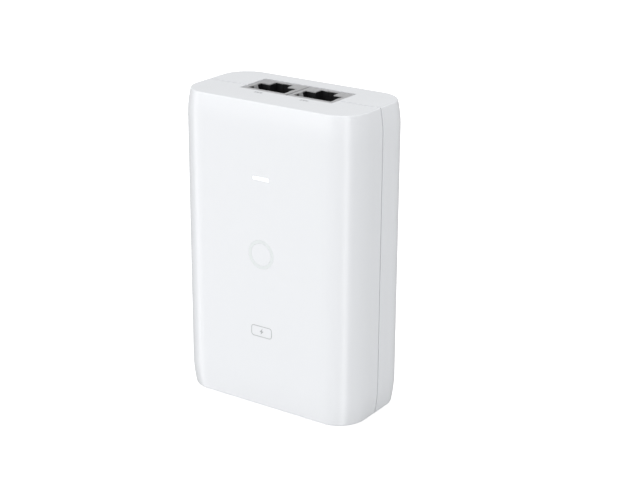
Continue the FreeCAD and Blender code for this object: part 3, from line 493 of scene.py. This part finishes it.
fuse_glass = plastic("fuse_glass", (0.85, 0.9, 0.9), 0.05, grain_depth=0.0)
fuse_glass.node_tree.nodes["Principled BSDF"].inputs["Transmission Weight"].default_value = 0.9
for names, material in (
        (("main_board",), banded("board_laminate", (0.012, 0.11, 0.045), (0.02, 0.17, 0.07),
                                 (260.0, 0.0, 0.0), 0.3)),
        (("insulation_sheet",), banded("barrier_sheet", (0.50, 0.45, 0.31), (0.56, 0.51, 0.36),
                                       (900.0, 0.0, 900.0), 0.7)),
        (("transformer_windings",), banded("winding_tape", (0.55, 0.33, 0.03), (0.72, 0.47, 0.06),
                                           (0.0, 0.0, 420.0), 0.35, mortar=0.12)),
        (("power_led",), plastic("lamp_white", (0.85, 0.85, 0.78), 0.25)),
        (("noise_capacitor",), plastic("film_yellow", (0.70, 0.45, 0.05), 0.35)),
        (("surge_disc", "safety_capacitor"), plastic("disc_blue", (0.03, 0.10, 0.38), 0.3)),
        (("bridge_rectifier", "switch_transistor", "output_rectifier", "optocoupler", "line_magnetics",
          "control_chip", "chip_parts"), plastic("chip_black", (0.02, 0.02, 0.02), 0.5)),
        (("transformer_bobbin",), plastic("bobbin_plastic", (0.03, 0.03, 0.03), 0.4)),
        (("choke_core", "transformer_core", "output_inductor"), plastic("ferrite", (0.05, 0.05, 0.055), 0.6)),
        (("choke_windings",), metal("copper_wire", (0.62, 0.26, 0.10), 0.3)),
        (("reservoir_capacitor",), sleeved_can("reservoir_sleeve", "reservoir_capacitor")),
        (("output_capacitors",), sleeved_can("output_sleeve", "output_capacitors")),
        (("switch_heatsink", "output_heatsink"), metal("sink_aluminium", (0.75, 0.75, 0.76), 0.4)),
        (("fuse_tube",), fuse_glass),
        (("fuse_caps",), pin_nickel),
        (("solder_joints",), metal("solder", (0.66, 0.66, 0.68), 0.25))):
    for node in names:
        dress(node, material)


# ---- Floor -------------------------------------------------------------------
# A plain pale floor, a hair below the base. It doesn't show from below, so that the
# base can be looked at, and gloss doesn't show it.

floor_reach, floor_drop, floor_lift = 6.0, 0.00005, 0.5
pale, tree, shader = new_material("pale_floor")
shader.inputs["Base Color"].default_value = (0.80, 0.80, 0.80, 1.0)
shader.inputs["Roughness"].default_value = 0.9
shader.inputs["Specular IOR Level"].default_value = 0.1
shader.inputs["Emission Color"].default_value = (1.0, 1.0, 1.0, 1.0)
path = tree.nodes.new("ShaderNodeLightPath")
lift = tree.nodes.new("ShaderNodeMath")
lift.operation = "MULTIPLY"
lift.inputs[1].default_value = floor_lift
tree.links.new(path.outputs["Is Camera Ray"], lift.inputs[0])
tree.links.new(lift.outputs[0], shader.inputs["Emission Strength"])
below = tree.nodes.new("ShaderNodeNewGeometry")
clear = tree.nodes.new("ShaderNodeBsdfTransparent")
faced = tree.nodes.new("ShaderNodeMixShader")
tree.links.new(below.outputs["Backfacing"], faced.inputs["Fac"])
tree.links.new(shader.outputs["BSDF"], faced.inputs[1])
tree.links.new(clear.outputs["BSDF"], faced.inputs[2])
tree.links.new(faced.outputs["Shader"], tree.nodes["Material Output"].inputs["Surface"])
built = bmesh.new()
bmesh.ops.create_grid(built, x_segments=1, y_segments=1, size=floor_reach)
bmesh.ops.translate(built, vec=(0.0, 0.0, -floor_drop), verts=built.verts)
floor = put("floor", built, pale)
floor.visible_glossy = False


# ---- Studio light ------------------------------------------------------------
# A white tent lights the object evenly. Gloss shows the tent's front wall instead,
# brightest at its two ends and dim elsewhere. Panels help the front and the top.

def towards(azimuth, rise):
    """Unit direction from the object. Azimuth 0 is +X and -90 the front, in degrees."""
    turn, lift = math.radians(azimuth), math.radians(rise)
    return Vector((math.cos(turn) * math.cos(lift), math.sin(turn) * math.cos(lift), math.sin(lift)))


tent_light, tent_colour = 0.872, (0.972, 0.98, 0.985, 1.0)
wall_peak, backdrop = 4.0, 1.05
tent_wall = ((-180, 0.14), (-168, 0.14), (-158, 2.5), (-148, 2.5), (-132, 1.3), (-53, 1.3), (-44, 3.6),
             (-37, 3.6), (-25, 0.05), (20, 0.1), (45, 0.18), (90, 0.32), (155, 0.32), (175, 0.14))

world = bpy.data.worlds.new("studio")
bpy.context.scene.world = world
world.use_nodes = True
tree = world.node_tree
link = tree.links.new
looking = tree.nodes.new("ShaderNodeTexCoord")
apart = tree.nodes.new("ShaderNodeSeparateXYZ")
heading = tree.nodes.new("ShaderNodeMath")
heading.operation = "ARCTAN2"
share = tree.nodes.new("ShaderNodeMapRange")
share.inputs["From Min"].default_value = -math.pi
share.inputs["From Max"].default_value = math.pi
wall = tree.nodes.new("ShaderNodeValToRGB")
while len(wall.color_ramp.elements) < len(tent_wall):
    wall.color_ramp.elements.new(0.5)
for stop, (azimuth, level) in zip(wall.color_ramp.elements, tent_wall):
    stop.position = (azimuth + 180) / 360
    stop.color = (level / wall_peak, level / wall_peak, level / wall_peak, 1.0)
even = tree.nodes["Background"]
even.inputs["Color"].default_value = tent_colour
even.inputs["Strength"].default_value = tent_light
mirrored = tree.nodes.new("ShaderNodeBackground")
mirrored.inputs["Strength"].default_value = wall_peak
seen = tree.nodes.new("ShaderNodeBackground")
seen.inputs["Strength"].default_value = backdrop
seen.inputs["Color"].default_value = (1.0, 1.0, 1.0, 1.0)
path = tree.nodes.new("ShaderNodeLightPath")
gloss = tree.nodes.new("ShaderNodeMixShader")
direct = tree.nodes.new("ShaderNodeMixShader")
link(looking.outputs["Generated"], apart.inputs["Vector"])
link(apart.outputs["Y"], heading.inputs[0])
link(apart.outputs["X"], heading.inputs[1])
link(heading.outputs["Value"], share.inputs["Value"])
link(share.outputs["Result"], wall.inputs["Fac"])
link(wall.outputs["Color"], mirrored.inputs["Color"])
link(path.outputs["Is Glossy Ray"], gloss.inputs["Fac"])
link(even.outputs["Background"], gloss.inputs[1])
link(mirrored.outputs["Background"], gloss.inputs[2])
link(path.outputs["Is Camera Ray"], direct.inputs["Fac"])
link(gloss.outputs["Shader"], direct.inputs[1])
link(seen.outputs["Background"], direct.inputs[2])
link(direct.outputs["Shader"], tree.nodes["World Output"].inputs["Surface"])

half_height = 0.05
for name, azimuth, rise, reach, width, height, radiance in (
        ("key_panel", -110.0, 18.0, 1.2, 0.7, 0.9, 1.2),
        ("top_panel", -90.0, 80.0, 1.2, 0.9, 0.9, 1.3)):
    panel = bpy.data.lights.new(name, "AREA")
    panel.shape = "RECTANGLE"
    panel.size, panel.size_y = width, height
    panel.energy = radiance * math.pi * width * height
    lamp = bpy.data.objects.new(name, panel)
    bpy.context.collection.objects.link(lamp)
    lamp.location = Vector((0.0, 0.0, half_height)) + towards(azimuth, rise) * reach
    lamp.rotation_mode = "QUATERNION"
    lamp.rotation_quaternion = (-towards(azimuth, rise)).to_track_quat("-Z", "Y")


# ---- Camera ------------------------------------------------------------------
# It stands to the right of the front and looks down a little, with a long lens.

azimuth, elevation, roll = math.radians(34.09), math.radians(20.09), math.radians(0.3)
distance = 0.4877
target = Vector((0.00757, 0.0, half_height))
back = Vector((math.sin(azimuth) * math.cos(elevation), -math.cos(azimuth) * math.cos(elevation),
               math.sin(elevation)))
across = Vector((math.cos(azimuth), math.sin(azimuth), 0.0))
upward = back.cross(across)
across, upward = (math.cos(roll) * across + math.sin(roll) * upward,
                  math.cos(roll) * upward - math.sin(roll) * across)
camera_data = bpy.data.cameras.new("camera")
camera_data.sensor_width = 36.0
camera_data.lens = 89.0
camera = bpy.data.objects.new("camera", camera_data)
bpy.context.collection.objects.link(camera)
camera.matrix_world = Matrix.Translation(target + back * distance) @ Matrix(
    (across, upward, back)).transposed().to_4x4()
bpy.context.scene.camera = camera
bpy.context.scene.view_settings.view_transform = "Standard"
